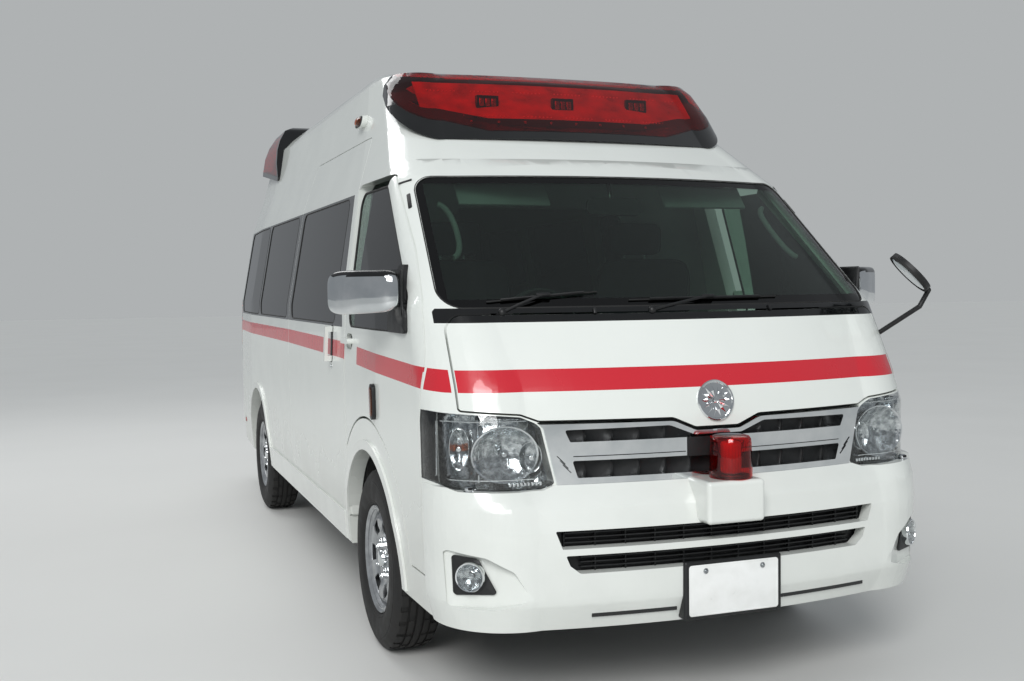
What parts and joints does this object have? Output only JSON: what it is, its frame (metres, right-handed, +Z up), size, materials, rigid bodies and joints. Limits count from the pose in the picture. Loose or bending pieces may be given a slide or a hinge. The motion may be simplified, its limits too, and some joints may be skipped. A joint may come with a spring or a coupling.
{
  "type": "ambulance",
  "caption": "High-roof van ambulance with sliding side doors, a lift-up tailgate, opening cab doors and nose lid, steered front wheels and red roof light bars.",
  "frame": {"origin": "on the ground, midway between the ends and the sides", "axes": "X to the vehicle's left, front toward -Y, Z up"},
  "size_m": [2.2886, 5.6, 2.4899],
  "materials": {
    "body_white": "gloss white paint",
    "bumper_white": "gloss white paint on plastic",
    "glass": "green tinted glass",
    "dark_glass": "dark privacy glass",
    "chrome": "bright chrome",
    "lamp_clear": "clear lens",
    "lamp_red": "red lens",
    "black_plastic": "satin black",
    "floor_grey": "grey floor covering",
    "chassis_black": "satin black chassis paint",
    "cast_grey": "raw casting",
    "tank_steel": "plain steel",
    "cabin_plastic": "grained grey",
    "seat_fabric": "dark woven cover",
    "seat_vinyl": "grey vinyl",
    "tyre_rubber": "tyre rubber",
    "wheel_silver": "silver paint"
  },
  "bodies": {
    "body": {"side_panel_left": "body_white", "side_panel_right": "body_white", "high_roof": "body_white", "cab_front": "body_white", "windscreen": "glass", "grille": "chrome", "front_lamps": "lamp_clear", "front_bumper": "bumper_white", "front_beacon": "lamp_red", "beacon_pod": "bumper_white", "light_bar_front": "lamp_red", "light_bar_rear": "lamp_red", "tail_lamps": "lamp_red", "rear_bumper": "black_plastic", "side_glass": "dark_glass", "sliding_door_left": "body_white", "sliding_door_right": "body_white", "look_down_mirror": "black_plastic", "wipers": "black_plastic", "floor_pan": "floor_grey", "chassis_frame": "chassis_black", "engine": "cast_grey", "driveline": "chassis_black", "rear_axle": "chassis_black", "leaf_springs": "chassis_black", "front_suspension": "chassis_black", "fuel_tank": "tank_steel", "exhaust": "tank_steel", "dashboard": "cabin_plastic", "steering_column": "black_plastic", "cab_seats": "seat_fabric", "partition": "cabin_plastic", "stretcher_deck": "tank_steel", "attendant_bench": "seat_vinyl", "cabinet": "cabin_plastic", "front_trim": "black_plastic", "side_trim": "body_white", "light_bar_bases": "black_plastic"},
    "cab_door_left": {"door_left": "body_white", "door_glass_left": "glass", "mirror_left": "chrome"},
    "cab_door_right": {"door_right": "body_white", "door_glass_right": "glass", "mirror_right": "chrome"},
    "back_door": {"tailgate": "body_white", "tailgate_glass": "dark_glass"},
    "nose_lid": {"bonnet": "body_white", "badge_disc": "chrome"},
    "steering": {"steering_wheel": "black_plastic"},
    "hub_left": {"knuckle_left": "cast_grey"},
    "hub_right": {"knuckle_right": "cast_grey"},
    "wheel_front_left": {"tyre_front_left": "tyre_rubber", "rim_front_left": "wheel_silver"},
    "wheel_front_right": {"tyre_front_right": "tyre_rubber", "rim_front_right": "wheel_silver"},
    "wheel_rear_left": {"tyre_rear_left": "tyre_rubber", "rim_rear_left": "wheel_silver"},
    "wheel_rear_right": {"tyre_rear_right": "tyre_rubber", "rim_rear_right": "wheel_silver"}
  },
  "joints": [
    {"name": "open_door_left", "type": "hinge", "parent": "body", "child": "cab_door_left", "pos_m": [0.932, -2.331, 1], "axis": [0, 0, -1], "range_deg": [0, 65]},
    {"name": "open_door_right", "type": "hinge", "parent": "body", "child": "cab_door_right", "pos_m": [-0.932, -2.331, 1], "axis": [0, 0, 1], "range_deg": [0, 65]},
    {"name": "lift_back_door", "type": "hinge", "parent": "body", "child": "back_door", "pos_m": [0, 2.528, 2.058], "axis": [1, 0, 0], "range_deg": [0, 80]},
    {"name": "lift_nose_lid", "type": "hinge", "parent": "body", "child": "nose_lid", "pos_m": [0, -2.489, 1.294], "axis": [-1, 0, 0], "range_deg": [0, 55]},
    {"name": "steer_left", "type": "hinge", "parent": "body", "child": "hub_left", "pos_m": [0.76, -1.63, 0.3465], "axis": [0, 0, 1], "range_deg": [-35, 35]},
    {"name": "steer_right", "type": "hinge", "parent": "body", "child": "hub_right", "pos_m": [-0.76, -1.63, 0.3465], "axis": [0, 0, 1], "range_deg": [-35, 35]},
    {"name": "turn_steering_wheel", "type": "hinge", "parent": "body", "child": "steering", "pos_m": [-0.42, -1.93, 1.17], "axis": [0, 0.6157, 0.788], "range_deg": [-525, 525]},
    {"name": "spin_front_left", "type": "hinge", "parent": "hub_left", "child": "wheel_front_left", "pos_m": [0.827, -1.63, 0.3465], "axis": [1, 0, 0], "continuous": true},
    {"name": "spin_front_right", "type": "hinge", "parent": "hub_right", "child": "wheel_front_right", "pos_m": [-0.827, -1.63, 0.3465], "axis": [1, 0, 0], "continuous": true},
    {"name": "spin_rear_left", "type": "hinge", "parent": "body", "child": "wheel_rear_left", "pos_m": [0.827, 1.48, 0.3465], "axis": [1, 0, 0], "continuous": true},
    {"name": "spin_rear_right", "type": "hinge", "parent": "body", "child": "wheel_rear_right", "pos_m": [-0.827, 1.48, 0.3465], "axis": [1, 0, 0], "continuous": true}
  ],
  "couplings": [
    {"joint": "steer_right", "follows": "steer_left", "ratio": 1},
    {"joint": "turn_steering_wheel", "follows": "steer_left", "ratio": 15}
  ]
}
